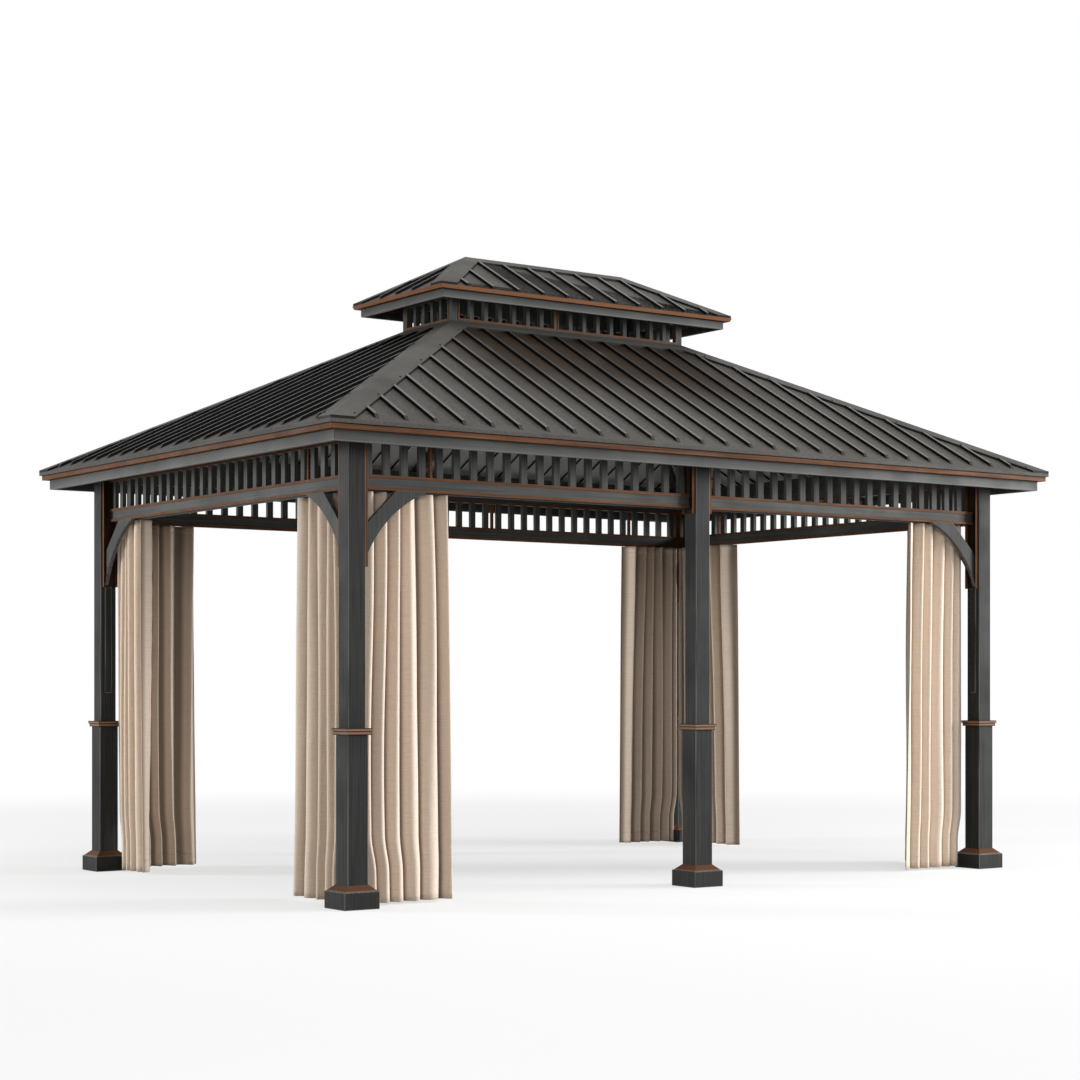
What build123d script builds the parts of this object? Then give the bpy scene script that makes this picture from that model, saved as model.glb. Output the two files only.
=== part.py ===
from build123d import *
import os
from collections import namedtuple
from math import atan2, cos, degrees, floor, hypot, pi, sin, sqrt, tan

# A rectangular garden gazebo: six posts, slatted friezes, a hipped lower roof,
# a slatted cupola and a small hipped upper roof. X runs along the ridge, the front faces -Y.

# Plan, between post centres
bay_length = 2160.0
span_width = 2830.0
bays = 2

# Posts and their bases
post_width = 95.0
sleeve_wall = 9.5
sleeve_height = 858.0
plinth_width = 197.0
plinth_height = 87.0
plinth_cap_height = 29.0
plinth_cap_ledge = 7.0
plinth_cap_edge = 2.0
collar_height = 33.0
collar_plate = 15.0
collar_undercut = 5.0
collar_reach = 15.0

# Frieze between the posts
headroom = 2037.0
rail_height = 74.0
rail_depth = 44.0
frieze_gap = 157.0
rail_edge_height = 14.0
rail_edge_depth = 6.0
slat_width = 38.0
slat_depth = 22.0
slat_spacing = 101.5
joint_bar_width = 14.0
joint_distance = 457.0
far_joint_distance = 1597.0

# Bronze mount channels on the post faces
channel_width = 86.0
channel_depth = 20.0
channel_wall = 3.0
channel_tail = 8.0
middle_channel_drop = 30.0
rib_width = 40.0
rib_depth = 5.0
rib_foot = 1040.0

# Knee braces
brace_leg = 372.0
brace_inner_leg = 188.0
brace_thickness = 24.0
brace_curve = 58.0

# Curtain tracks and curtains
track_height = 6.0
track_depth = 17.0
curtain_width = 500.0
curtain_folds = 6
points_per_fold = 8
curtain_depth = 58.0
curtain_thickness = 5.0
curtain_floor_gap = 12.0
curtain_corner_gap = 8.0

# Top plates and rafters
plate_width = 80.0
rafter_width = 45.0
rafter_depth = 60.0

# Lower roof
lower_overhang = 287.0
eave_drop = 8.0
lower_rise = 781.0
sheet = 4.0
seam_spacing = 167.0
seam_width = 20.0
seam_height = 16.0
seam_start = 34.0
seam_taper = 30.0
under_seam_depth = 14.0
hip_flange = 90.0
cap_rise = 14.0
flashing_width = 80.0
eave_lip = 18.0
lower_trim_setback = 12.0
lower_trim_height = 27.0
lower_trim_depth = 48.0
lower_fascia_setback = 46.0
lower_fascia_height = 55.0
lower_fascia_depth = 26.0

# Cupola
cupola_length = 1650.0
cupola_width = 522.0
cupola_height = 169.0
cupola_wall = 30.0
cupola_sill = 28.0
cupola_opening_height = 119.0
cupola_slat = 25.0
cupola_spacing = 98.0
cupola_corner = 48.0
cupola_divider = 35.0
cupola_divider_place = -107.0
frame_strip = 9.0
frame_strip_depth = 3.0
curb_depth = 110.0

# Upper roof
upper_overhang = 210.0
upper_rise = 254.0
upper_seam_spacing = 171.0
upper_seam_start = 2.0
upper_seam_taper = 8.0
upper_hip_flange = 76.0
ridge_flange = 58.0
upper_trim_height = 21.0
upper_trim_face = 4.0
upper_trim_depth = 60.0
upper_trim_lean = 8.0
upper_fascia_setback = 33.0
upper_fascia_height = 44.0
upper_fascia_depth = 22.0

# Clearances
fit = 0.3
embed = 4.0
shortest_seam = 60.0
cutting_margin = 1.0
cap_sheet = 3.0
curb_width = 45.0

# Heights worked out from the dimensions above
rail_top = headroom + rail_height
upper_rail_foot = rail_top + frieze_gap
post_top = upper_rail_foot + rail_height
eave_height = post_top - eave_drop
cupola_foot = eave_height + lower_rise
upper_eave_height = cupola_foot + cupola_height
ridge_height = upper_eave_height + upper_rise
half_length = bay_length * bays / 2
half_span = span_width / 2
half_post = post_width / 2
corner_channel_drop = brace_leg + channel_tail

# One side of the gazebo as seen from outside: half its length and how far out it stands,
# for the post centres and for the cupola, and how far from a corner its joint bars are
Side = namedtuple("Side", "name turn half out cupola_half cupola_out bays joints")
long_side = (half_length, half_span, cupola_length / 2, cupola_width / 2, bays)
end_side = (half_span, half_length, cupola_width / 2, cupola_length / 2, 1)
sides = [
    Side("front", 0, *long_side, (joint_distance,)),
    Side("right", 90, *end_side, (joint_distance,)),
    Side("back", 180, *long_side, (joint_distance, far_joint_distance)),
    Side("left", 270, *end_side, (joint_distance,)),
]

# A roof slope in plan: (half length, distance out) at its eave and at its top
Slope = namedtuple("Slope", "low high z_low z_high")


def lower_slope(side):
    low = (side.half + lower_overhang, side.out + lower_overhang)
    return Slope(low, (side.cupola_half, side.cupola_out), eave_height, cupola_foot)


def upper_slope(side):
    low = (side.cupola_half + upper_overhang, side.cupola_out + upper_overhang)
    inward = min(low)
    high = (low[0] - inward, low[1] - inward)
    return Slope(low, high, upper_eave_height, ridge_height)


def pitch(slope):
    return atan2(slope.z_high - slope.z_low, slope.low[1] - slope.high[1])


def over(slope, out):
    """Height of the outer sheet face at a distance out from the middle."""
    return slope.z_low + (slope.low[1] - out) * tan(pitch(slope))


# Thickness of the sheets measured straight down, the same on every slope
sheet_drop = max(sheet / cos(pitch(of(side))) for side in sides for of in (lower_slope, upper_slope))


def turned(side, piece):
    return Rot(0, 0, side.turn) * piece


def mitred(piece, slope, inset):
    """Cut both ends of a piece along the vertical planes through the hip lines."""
    for hand in (-1, 1):
        foot = Vector(hand * slope.low[0], -slope.low[1], 0)
        head = Vector(hand * slope.high[0], -slope.high[1], 0)
        outward = (head - foot).normalized().cross(Vector(0, 0, 1)) * hand
        hip_plane = Plane(origin=foot - outward * inset, z_dir=outward)
        piece = split(piece, bisect_by=hip_plane, keep=Keep.BOTTOM)
    return piece


def board(points, half):
    """A straight length of one section, whose points are (distance out, height)."""
    section = Plane.YZ * Polygon(*[(-out, z) for out, z in points], align=None)
    return extrude(section, amount=half, both=True)


def square_slope(corner_half, corner_out):
    """Mitre lines at 45 degrees through a corner."""
    reach = min(corner_half, corner_out) / 2
    return Slope((corner_half, corner_out), (corner_half - reach, corner_out - reach), 0, 1)


def upright(width, depth, bottom, top):
    """A square-edged upright, standing on its own centre."""
    standing = (Align.CENTER, Align.CENTER, Align.MIN)
    return Pos(0, 0, bottom) * Box(width, depth, top - bottom, align=standing)


def save(name, pieces):
    solids = [solid for piece in pieces for solid in piece.solids()]
    export_step(Compound(children=solids), f"parts/{name}.step")


# Posts

def post_places():
    places = {}
    for row, y in (("front", -half_span), ("back", half_span)):
        for column, x in (("left", -half_length), ("middle", 0), ("right", half_length)):
            places[f"post_{row}_{column}"] = (x, y)
    return places


def channel_faces(x, y):
    """Directions, as turns about the post, of the faces that carry a channel, and its drop."""
    toward_other_end = 0 if x < 0 else 180
    toward_other_side = 90 if y < 0 else 270
    if x == 0:
        return [(0, middle_channel_drop), (180, middle_channel_drop)]
    return [(toward_other_end, corner_channel_drop), (toward_other_side, corner_channel_drop)]


def make_post(x, y):
    """A square post with a raised rib below each long channel."""
    post = upright(post_width, post_width, plinth_height, post_top)
    for turn, drop in channel_faces(x, y):
        if drop == corner_channel_drop:
            rib_top = headroom - drop - fit
            rib = Pos(half_post, 0, 0) * upright(2 * rib_depth, rib_width, rib_foot, rib_top)
            post += Rot(0, 0, turn) * rib
    return Pos(x, y, 0) * post


def make_base(x, y):
    """Plinth and lower sleeve in one piece, round the foot of a post."""
    sleeve_width = post_width + 2 * (sleeve_wall + fit)
    base = upright(plinth_width, plinth_width, 0, plinth_height - fit)
    base += upright(sleeve_width, sleeve_width, plinth_height - embed, sleeve_height)
    base -= upright(post_width + 2 * fit, post_width + 2 * fit, plinth_height - fit, sleeve_height)
    return Pos(x, y, 0) * base


def make_base_trims(x, y):
    """The chamfered cap on the plinth and the stepped collar on the sleeve."""
    sleeve_width = post_width + 2 * (sleeve_wall + fit)
    inner = sleeve_width + 2 * fit
    foot = plinth_width - 2 * plinth_cap_ledge
    low = Pos(0, 0, plinth_height) * Rectangle(foot, foot)
    head = inner + plinth_cap_edge
    high = Pos(0, 0, plinth_height + plinth_cap_height) * Rectangle(head, head)
    cap = loft([low, high], ruled=True)
    cap -= upright(inner, inner, plinth_height, plinth_height + plinth_cap_height)
    wide = inner + 2 * collar_reach
    top = sleeve_height + collar_height / 2
    narrow = wide - 2 * collar_undercut
    collar = upright(wide, wide, top - collar_plate, top)
    collar += upright(narrow, narrow, top - collar_height, top)
    collar -= upright(inner, inner, top - collar_height, sleeve_height + fit)
    collar -= upright(post_width + 2 * fit, post_width + 2 * fit, sleeve_height, top)
    return [Pos(x, y, 0) * cap, Pos(x, y, 0) * collar]


# Channels, friezes and braces, drawn in the frame of one side:
# the side stands at y = -out and what is inside the gazebo is at larger y

rail_face = 0.0
rail_back = rail_face + rail_depth


def make_channel(turn, drop):
    """A bronze U channel on one face of a post, open away from it."""
    bottom = headroom - drop
    outer = upright(channel_depth, channel_width, bottom, post_top)
    inner = upright(channel_depth, channel_width - 2 * channel_wall, bottom, post_top)
    channel = outer - Pos(channel_wall, 0, 0) * inner
    return Rot(0, 0, turn) * Pos(half_post + channel_depth / 2, 0, 0) * channel


def make_channels(x, y):
    """The channels of one post, set back from its outer faces."""
    channels = []
    for turn, drop in channel_faces(x, y):
        along_x = turn in (0, 180)
        setback = (post_width - channel_width) / 2
        shift = (0, -setback if y > 0 else setback) if along_x else (-setback if x > 0 else setback, 0)
        channels.append(Pos(x + shift[0], y + shift[1], 0) * make_channel(turn, drop))
    return channels


def bay_clear(side):
    """Length of a frieze between the channel webs of one bay."""
    return 2 * side.half / side.bays - post_width - 2 * (channel_wall + fit)


def bay_centres(side):
    step = 2 * side.half / side.bays
    return [(i - (side.bays - 1) / 2) * step for i in range(side.bays)]


def slat_places(side, centre):
    """Slat positions from the middle of a bay: a right-hand bay begins and ends with a whole gap."""
    clear = bay_clear(side)
    steps = max(2, round(clear / slat_spacing))
    if centre > 0:
        shares = range(1, steps)
    else:
        shares = [i + 0.5 for i in range(steps)]
    return [(share / steps - 0.5) * clear for share in shares]


def joint_places(side, centre):
    """Middles of the gaps that hold a joint bar, in a left-hand bay or a single one."""
    places = slat_places(side, centre)
    gaps = [(a + b) / 2 for a, b in zip(places, places[1:])]
    corner = side.half if side.bays == 1 else -side.half
    inward = -1 if corner > 0 else 1
    targets = [] if centre > 0 else [corner + inward * distance - centre for distance in side.joints]
    return [min(gaps, key=lambda x: abs(x - target)) for target in targets]


def make_frieze(side, centre):
    """Two rails joined by slats, in one bay."""
    clear = bay_clear(side)
    web = rail_depth - 2 * rail_edge_depth
    middle = -side.out + rail_face + rail_depth / 2
    frieze = upright(clear, web, headroom, rail_top)
    frieze += upright(clear, web, upper_rail_foot, post_top - fit)
    slat = upright(slat_width, slat_depth, rail_top - embed, upper_rail_foot + embed)
    frieze += [Pos(x, 0, 0) * slat for x in slat_places(side, centre)]
    return turned(side, Pos(centre, middle, 0) * frieze)


def make_frieze_trims(side, centre):
    """Bronze strips along the edges of both rail faces, and the bars that cover the joints."""
    clear = bay_clear(side)
    strips = []
    for bottom in (headroom, rail_top - rail_edge_height, upper_rail_foot):
        strip = upright(clear, rail_edge_depth, bottom, bottom + rail_edge_height)
        for y in (rail_face + rail_edge_depth / 2, rail_back - rail_edge_depth / 2):
            strips.append(Pos(centre, y - side.out, 0) * strip)
    middle = rail_face + rail_depth / 2
    bar = upright(joint_bar_width, slat_depth, rail_top, upper_rail_foot)
    strips += [Pos(centre + x, middle - side.out, 0) * bar for x in joint_places(side, centre)]
    return [turned(side, strip) for strip in strips]


def make_track(side, centre):
    """A slim curtain track under the inner edge of the bottom rail."""
    y = rail_back - track_depth / 2 - side.out
    length = bay_clear(side) - 2 * channel_depth
    return turned(side, Pos(centre, y, 0) * upright(length, track_depth, headroom - track_height, headroom))


def make_brace(side, hand):
    """A curved knee brace between a corner post and the rail."""
    hollow = brace_leg / 2 - brace_curve / sqrt(2)
    outline = Curve() + [
        ThreePointArc((brace_leg, 0), (hollow, -hollow), (0, -brace_leg)),
        Polyline((0, -brace_leg), (0, -brace_inner_leg), (brace_inner_leg, 0), (brace_leg, 0)),
    ]
    band = extrude(make_face(Plane.XZ * outline), amount=-brace_thickness)
    x = -side.half + half_post + channel_wall + fit
    brace = Pos(x, rail_face - side.out, headroom - fit) * band
    if hand > 0:
        brace = mirror(brace, about=Plane.YZ)
    return turned(side, brace)


# Curtains

def curtain_face(start, shift):
    """One face of the pleated slab: a wave, moved square to itself by half the cloth."""
    fold = curtain_width / curtain_folds
    swing = (curtain_depth - curtain_thickness) / 2
    points = []
    for i in range(curtain_folds * points_per_fold + 1):
        turn = 2 * pi * i / points_per_fold
        x = start + i * fold / points_per_fold
        normal = Vector(-swing * cos(turn) * 2 * pi / fold, 1).normalized() * shift
        points.append((x + normal.X, swing * sin(turn) + normal.Y))
    return points


def make_curtain(side, hand):
    """A gathered curtain as a pleated slab, drawn back to a corner post."""
    start = -side.half + plinth_width / 2 + curtain_corner_gap
    front = curtain_face(start, -curtain_thickness / 2)
    back = curtain_face(start, curtain_thickness / 2)
    outline = Polygon(*front, *reversed(back), align=None)
    slab = extrude(outline, amount=headroom - track_height - fit - curtain_floor_gap)
    y = rail_face + brace_thickness + fit + curtain_depth / 2 - side.out
    curtain = Pos(0, y, curtain_floor_gap) * slab
    if hand > 0:
        curtain = mirror(curtain, about=Plane.YZ)
    return turned(side, curtain)


# Roofs

def roof_mass(slope_of, lift):
    """Everything under a hipped surface, lifted by a height and carried on past its eaves."""
    front = slope_of(sides[0])
    end = slope_of(sides[1])
    prisms = []
    for slope, other, plane in ((front, end, Plane.YZ), (end, front, Plane.XZ)):
        run = slope.low[1] - slope.high[1]
        rise = slope.z_high - slope.z_low
        foot = (slope.low[1] + run, slope.z_low - rise + lift)
        head = (slope.high[1], slope.z_high + lift)
        mirrored = [(-out, z) for out, z in (head, foot)]
        corners = [foot, head] + (mirrored if head[0] > 0 else mirrored[1:])
        section = plane * Polygon(*corners, align=None)
        prisms.append(extrude(section, amount=2 * other.low[1], both=True))
    return prisms[0] & prisms[1]


def hip_strips(slope, half_width):
    """Plan of the four straight strips over the hips."""
    run = hypot(slope.low[0] - slope.high[0], slope.low[1] - slope.high[1])
    angle = degrees(atan2(slope.low[1] - slope.high[1], slope.low[0] - slope.high[0]))
    middle = Pos((slope.low[0] + slope.high[0]) / 2, (slope.low[1] + slope.high[1]) / 2)
    strip = middle * Rot(0, 0, angle) * Rectangle(run + 2 * half_width, 2 * half_width)
    pair = [strip, mirror(strip, about=Plane.YZ)]
    return pair + [mirror(half, about=Plane.XZ) for half in pair]


def prism(plan):
    """A plan drawn straight up past the ridge."""
    return extrude(plan, amount=ridge_height + upper_rise)


def box_plan(half_x, half_y):
    return prism(Rectangle(2 * half_x, 2 * half_y))


def seam_plane(slope, x):
    """Where a seam is drawn: the first axis runs up the slope from the eave."""
    angle = pitch(slope)
    uphill = (0, cos(angle), sin(angle))
    return Plane(origin=(x, -slope.low[1], slope.z_low), x_dir=uphill, z_dir=(1, 0, 0))


def seam(slope, x, length, start, taper):
    """A standing seam up the slope, tapered at its lower end."""
    line = seam_plane(slope, x)
    outline = [(start, -sheet / 2), (start, 0), (start + taper, seam_height)]
    outline += [(length, seam_height), (length, -sheet / 2)]
    return extrude(line * Polygon(*outline, align=None), amount=seam_width / 2, both=True)


def under_seam(slope, x):
    """The fold of a seam below the sheet, from the eave boards to the curb."""
    angle = pitch(slope)
    line = seam_plane(slope, x)
    start = (lower_trim_setback + lower_trim_depth + under_seam_depth) / cos(angle)
    end = (slope.low[1] - slope.high[1] - fit) / cos(angle) - (under_seam_depth + sheet) * tan(angle)
    middle = -sheet - under_seam_depth / 2 + sheet / 4
    outline = Pos((start + end) / 2, middle) * Rectangle(end - start, under_seam_depth + sheet / 2)
    return extrude(line * outline, amount=seam_width / 2, both=True)


def roof_panel(slope, lip, spacing, start, taper, flange, head_gap):
    """One slope: a sheet with its eave lip and standing seams, mitred at the hips."""
    low, high = slope.low, slope.high
    top = high[1] + fit / 2
    section = [(low[1], slope.z_low), (top, over(slope, top)), (top, over(slope, top) - sheet_drop)]
    if lip:
        inner = low[1] - sheet
        lip_foot = slope.z_low - lip
        section += [(inner, over(slope, inner) - sheet_drop), (inner, lip_foot), (low[1], lip_foot)]
    else:
        section += [(low[1], slope.z_low - sheet_drop)]
    panel = mitred(board(section, low[0] + cutting_margin), slope, fit / 2)
    length = (low[1] - high[1] - head_gap) / cos(pitch(slope))
    reach = floor((low[0] - flange * sqrt(2) - shortest_seam) / spacing)
    seams = [seam(slope, i * spacing, length, start, taper) for i in range(-reach, reach + 1)]
    panel += mitred(Part() + seams, slope, flange + fit)
    if lip:
        clear = (rafter_width + seam_width) / 2 + fit
        places = [i * spacing for i in range(-reach, reach + 1) if abs(i * spacing) > clear]
        folds = [under_seam(slope, x) for x in places]
        panel += mitred(Part() + folds, slope, rafter_width / 2 + fit)
    return panel


def capping(plan, inner_plan, mass_of, low):
    """A folded cap over a roof, its edges turned down to the slope and its ends closed at the eaves."""
    shell = (prism(plan) & mass_of(cap_rise)) & box_plan(low[0], low[1])
    hollow = prism(inner_plan) & mass_of(cap_rise - cap_sheet)
    shell -= hollow & box_plan(low[0] - cap_sheet, low[1] - cap_sheet)
    return shell - mass_of(fit)


def lower_mass(lift):
    return roof_mass(lower_slope, lift)


def upper_mass(lift):
    return roof_mass(upper_slope, lift)


def make_lower_caps():
    """Four hip caps and the flashing round the foot of the cupola."""
    slope = lower_slope(sides[0])
    half_x, half_y = slope.high
    wide = flashing_width
    ring_box = box_plan(half_x + wide + fit, half_y + wide + fit)
    inner_strips = hip_strips(slope, hip_flange - cap_sheet)
    caps = []
    for outer, inner in zip(hip_strips(slope, hip_flange), inner_strips):
        caps.append(capping(outer, inner, lower_mass, slope.low) - ring_box)
    hole = Rectangle(2 * (half_x + fit), 2 * (half_y + fit))
    ring = Rectangle(2 * (half_x + wide), 2 * (half_y + wide)) - hole
    under_ring = Rectangle(2 * (half_x + wide - cap_sheet), 2 * (half_y + wide - cap_sheet))
    caps.append(capping(ring, under_ring, lower_mass, slope.low))
    return caps


def make_upper_caps():
    """Hip and ridge caps of the upper roof, joined in one piece."""
    slope = upper_slope(sides[0])
    plans = []
    for cut in (0, cap_sheet):
        ridge = Rectangle(2 * slope.high[0], 2 * (ridge_flange - cut))
        plans.append(Sketch() + hip_strips(slope, upper_hip_flange - cut) + ridge)
    return capping(plans[0], plans[1], upper_mass, slope.low)


def eave_board(slope, setback, depth, bottom, top):
    """A straight board under one eave, mitred at 45 degrees."""
    out = slope.low[1] - setback
    length = board([(out, bottom), (out, top), (out - depth, top), (out - depth, bottom)], slope.low[0])
    return mitred(length, square_slope(slope.low[0], slope.low[1]), fit / 2)


lower_trim_foot = eave_height - eave_lip - lower_trim_height
lower_fascia_foot = lower_trim_foot - lower_fascia_height
upper_trim_foot = upper_eave_height - upper_trim_height
upper_fascia_foot = upper_trim_foot - upper_fascia_height


def make_lower_trim(side):
    slope = lower_slope(side)
    trim = eave_board(slope, lower_trim_setback, lower_trim_depth, lower_trim_foot, cupola_foot)
    return turned(side, trim) & lower_mass(-sheet_drop - fit)


def make_lower_fascia(side):
    slope = lower_slope(side)
    top = lower_trim_foot - fit
    return turned(side, eave_board(slope, lower_fascia_setback, lower_fascia_depth, lower_fascia_foot, top))


def make_upper_trim(side):
    """A bronze edge that laps the sheet's edge, leans in at its foot and runs back below."""
    slope = upper_slope(side)
    face = slope.low[1] + upper_trim_face
    edge = slope.low[1] + fit
    back = slope.low[1] - upper_trim_depth
    foot, top = upper_trim_foot, upper_eave_height
    nose = (face - upper_trim_lean, foot)
    section = [nose, (face, top), (edge, top), (edge, over(slope, edge) - sheet_drop - fit)]
    section += [(back, over(slope, back) - sheet_drop - fit), (back, foot)]
    corner = square_slope(slope.low[0], slope.low[1])
    return turned(side, mitred(board(section, slope.low[0] + 2 * upper_trim_face), corner, fit / 2))


def make_upper_fascia(side):
    slope = upper_slope(side)
    top = upper_trim_foot - fit
    return turned(side, eave_board(slope, upper_fascia_setback, upper_fascia_depth, upper_fascia_foot, top))


# Plates, rafters and cupola

def make_plate(side):
    """A beam on the posts, bevelled under the rafters."""
    out = side.out + plate_width / 2
    inner = out - plate_width
    section = [(out, post_top), (out, cupola_foot), (inner, cupola_foot), (inner, post_top)]
    beam = mitred(board(section, side.half + plate_width), square_slope(side.half, side.out), fit / 2)
    return turned(side, beam) & lower_mass(-sheet_drop - 2 * fit - rafter_depth)


def make_rafters():
    """Four hip rafters and the middle rafters of each slope, from the curb to the fascia."""
    slope = lower_slope(sides[0])
    inset = lower_trim_setback + lower_trim_depth + fit
    limit = box_plan(slope.low[0] - inset, slope.low[1] - inset)
    limit -= box_plan(*slope.high)
    layer = lower_mass(-sheet_drop - fit) - lower_mass(-sheet_drop - fit - rafter_depth)
    plans = hip_strips(slope, rafter_width / 2)
    plans += [Rectangle(rafter_width, 2 * slope.low[1]), Rectangle(2 * slope.low[0], rafter_width)]
    return [(prism(plan) & layer) & limit for plan in plans]


def make_curb():
    """The frame under the cupola walls that the rafters meet."""
    outer = (cupola_length - 2 * fit, cupola_width - 2 * fit)
    ring = Rectangle(*outer) - Rectangle(outer[0] - 2 * curb_width, outer[1] - 2 * curb_width)
    return Pos(0, 0, cupola_foot - curb_depth) * extrude(ring, amount=curb_depth)


def opening_groups(side):
    """Rows of openings in a cupola wall: (left edge, opening width, step, count)."""
    reach = side.cupola_half - cupola_corner
    divider = (cupola_divider_place - cupola_divider / 2, cupola_divider_place + cupola_divider / 2)
    stretches = [(-reach, divider[0]), (divider[1], reach)] if side.bays > 1 else [(-reach, reach)]
    groups = []
    for left, right in stretches:
        count = max(1, round((right - left + cupola_slat) / cupola_spacing))
        step = (right - left + cupola_slat) / count
        groups.append((left, step - cupola_slat, step, count))
    return groups


def make_cupola_wall(side):
    """A cupola wall, pierced between its slats."""
    out = side.cupola_out - fit
    section = [(out, cupola_foot), (out, ridge_height)]
    section += [(out - cupola_wall, ridge_height), (out - cupola_wall, cupola_foot)]
    wall = mitred(board(section, side.cupola_half), square_slope(side.cupola_half - fit, out), fit / 2)
    sill = cupola_foot + cupola_sill
    holes = []
    for left, width, step, count in opening_groups(side):
        hole = upright(width, 3 * cupola_wall, sill, sill + cupola_opening_height)
        holes += [Pos(left + width / 2 + i * step, -out, 0) * hole for i in range(count)]
    return turned(side, wall - holes) & upper_mass(-sheet_drop - fit)


def make_cupola_trims(side):
    """Bronze strips below and beside each row of openings."""
    sill = cupola_foot + cupola_sill
    y = -(side.cupola_out - fit) - frame_strip_depth / 2
    strips = []
    for left, width, step, count in opening_groups(side):
        right = left + step * count - cupola_slat
        foot = upright(right - left + 2 * frame_strip, frame_strip_depth, sill - frame_strip, sill)
        jamb = upright(frame_strip, frame_strip_depth, sill, sill + cupola_opening_height)
        frame = Pos((left + right) / 2, 0, 0) * foot
        frame += Pos(left - frame_strip / 2, 0, 0) * jamb
        frame += Pos(right + frame_strip / 2, 0, 0) * jamb
        strips.append(turned(side, Pos(0, y, 0) * frame))
    return strips


# Writing every node

os.makedirs("parts", exist_ok=True)
places = post_places()
for name, (x, y) in places.items():
    save(name, [make_post(x, y)])
save("post_bases", [make_base(x, y) for x, y in places.values()])
save("post_base_trims", [trim for x, y in places.values() for trim in make_base_trims(x, y)])
save("mount_channels", [channel for x, y in places.values() for channel in make_channels(x, y)])

frieze_trims = []
tracks = []
for side in sides:
    for i, centre in enumerate(bay_centres(side)):
        reading = ("left", "right") if side.name == "front" else ("right", "left")
        name = f"frieze_{side.name}_{reading[i]}" if side.bays > 1 else f"frieze_{side.name}"
        save(name, [make_frieze(side, centre)])
        frieze_trims += make_frieze_trims(side, centre)
        tracks.append(make_track(side, centre))
save("frieze_trims", frieze_trims)
save("curtain_tracks", tracks)
save("knee_braces", [make_brace(side, hand) for side in sides for hand in (-1, 1)])

# Which corner each end of a side is at, going from its left to its right as seen from outside
corners = {
    "front": ("left", "right"),
    "right": ("front", "back"),
    "back": ("right", "left"),
    "left": ("back", "front"),
}
for side in sides:
    for hand, corner in zip((-1, 1), corners[side.name]):
        save(f"curtain_{side.name}_at_{corner}", [make_curtain(side, hand)])

save("top_plates", [make_plate(side) for side in sides])
save("rafters", make_rafters())
for side in sides:
    slope = lower_slope(side)
    gap = flashing_width + fit
    panel = roof_panel(slope, eave_lip, seam_spacing, seam_start, seam_taper, hip_flange, gap)
    save(f"lower_roof_{side.name}", [turned(side, panel)])
save("lower_roof_caps", make_lower_caps())
save("lower_eave_trim", [make_lower_trim(side) for side in sides])
save("lower_fascia", [make_lower_fascia(side) for side in sides])

save("cupola_curb", [make_curb()])
for side in sides:
    save(f"cupola_{side.name}", [make_cupola_wall(side)])
save("cupola_trims", [trim for side in sides for trim in make_cupola_trims(side)])

for side in sides:
    slope = upper_slope(side)
    gap = ridge_flange + fit if slope.high[0] > 0 else 0
    start, taper = upper_seam_start, upper_seam_taper
    panel = roof_panel(slope, 0, upper_seam_spacing, start, taper, upper_hip_flange, gap)
    save(f"upper_roof_{side.name}", [turned(side, panel)])
save("upper_roof_caps", [make_upper_caps()])
save("upper_eave_trim", [make_upper_trim(side) for side in sides])
save("upper_fascia", [make_upper_fascia(side) for side in sides])
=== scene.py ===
# A metal garden gazebo with linen curtains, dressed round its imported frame
import math

import bmesh
import bpy
from mathutils import Matrix, Vector


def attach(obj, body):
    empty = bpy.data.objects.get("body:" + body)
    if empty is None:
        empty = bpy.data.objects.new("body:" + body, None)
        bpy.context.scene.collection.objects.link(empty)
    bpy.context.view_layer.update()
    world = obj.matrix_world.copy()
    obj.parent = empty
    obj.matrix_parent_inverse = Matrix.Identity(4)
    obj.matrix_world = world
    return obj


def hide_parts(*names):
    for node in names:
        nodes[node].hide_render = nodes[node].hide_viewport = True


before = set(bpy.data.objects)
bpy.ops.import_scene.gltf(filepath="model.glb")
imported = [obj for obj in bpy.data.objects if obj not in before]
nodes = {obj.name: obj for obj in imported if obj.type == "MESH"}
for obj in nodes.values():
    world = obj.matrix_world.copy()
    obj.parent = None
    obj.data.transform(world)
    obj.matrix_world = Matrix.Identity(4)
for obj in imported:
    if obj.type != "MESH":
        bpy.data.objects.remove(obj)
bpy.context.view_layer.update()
scene = bpy.context.scene
fullTurn = 2 * math.pi
print("frame loaded:", len(nodes), "nodes")

# The plan of the frame in metres, as the CAD draws it; the front faces -Y
plan = {
    "halfLength": 2.160,      # post centres, along the ridge
    "halfSpan": 1.415,        # post centres, front to back
    "halfPost": 0.0475,
    "railTop": 2.111,
    "upperRailFoot": 2.268,
    "eave": (2.447, 1.702, 2.334),      # half length, half width, height
    "cupolaFoot": (0.825, 0.261, 3.115),
    "upperEave": (1.035, 0.471, 3.284),
    "lowerFascia": (2.234, 2.289),      # foot and head
    "upperFascia": (3.219, 3.263),
    "ridge": (0.564, 0.0, 3.538),
}

# One side as seen from outside: its turn, half its length and how far out it stands
sides = {
    "front": (0, plan["halfLength"], plan["halfSpan"]),
    "right": (90, plan["halfSpan"], plan["halfLength"]),
    "back": (180, plan["halfLength"], plan["halfSpan"]),
    "left": (270, plan["halfSpan"], plan["halfLength"]),
}


# Node trees

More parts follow.
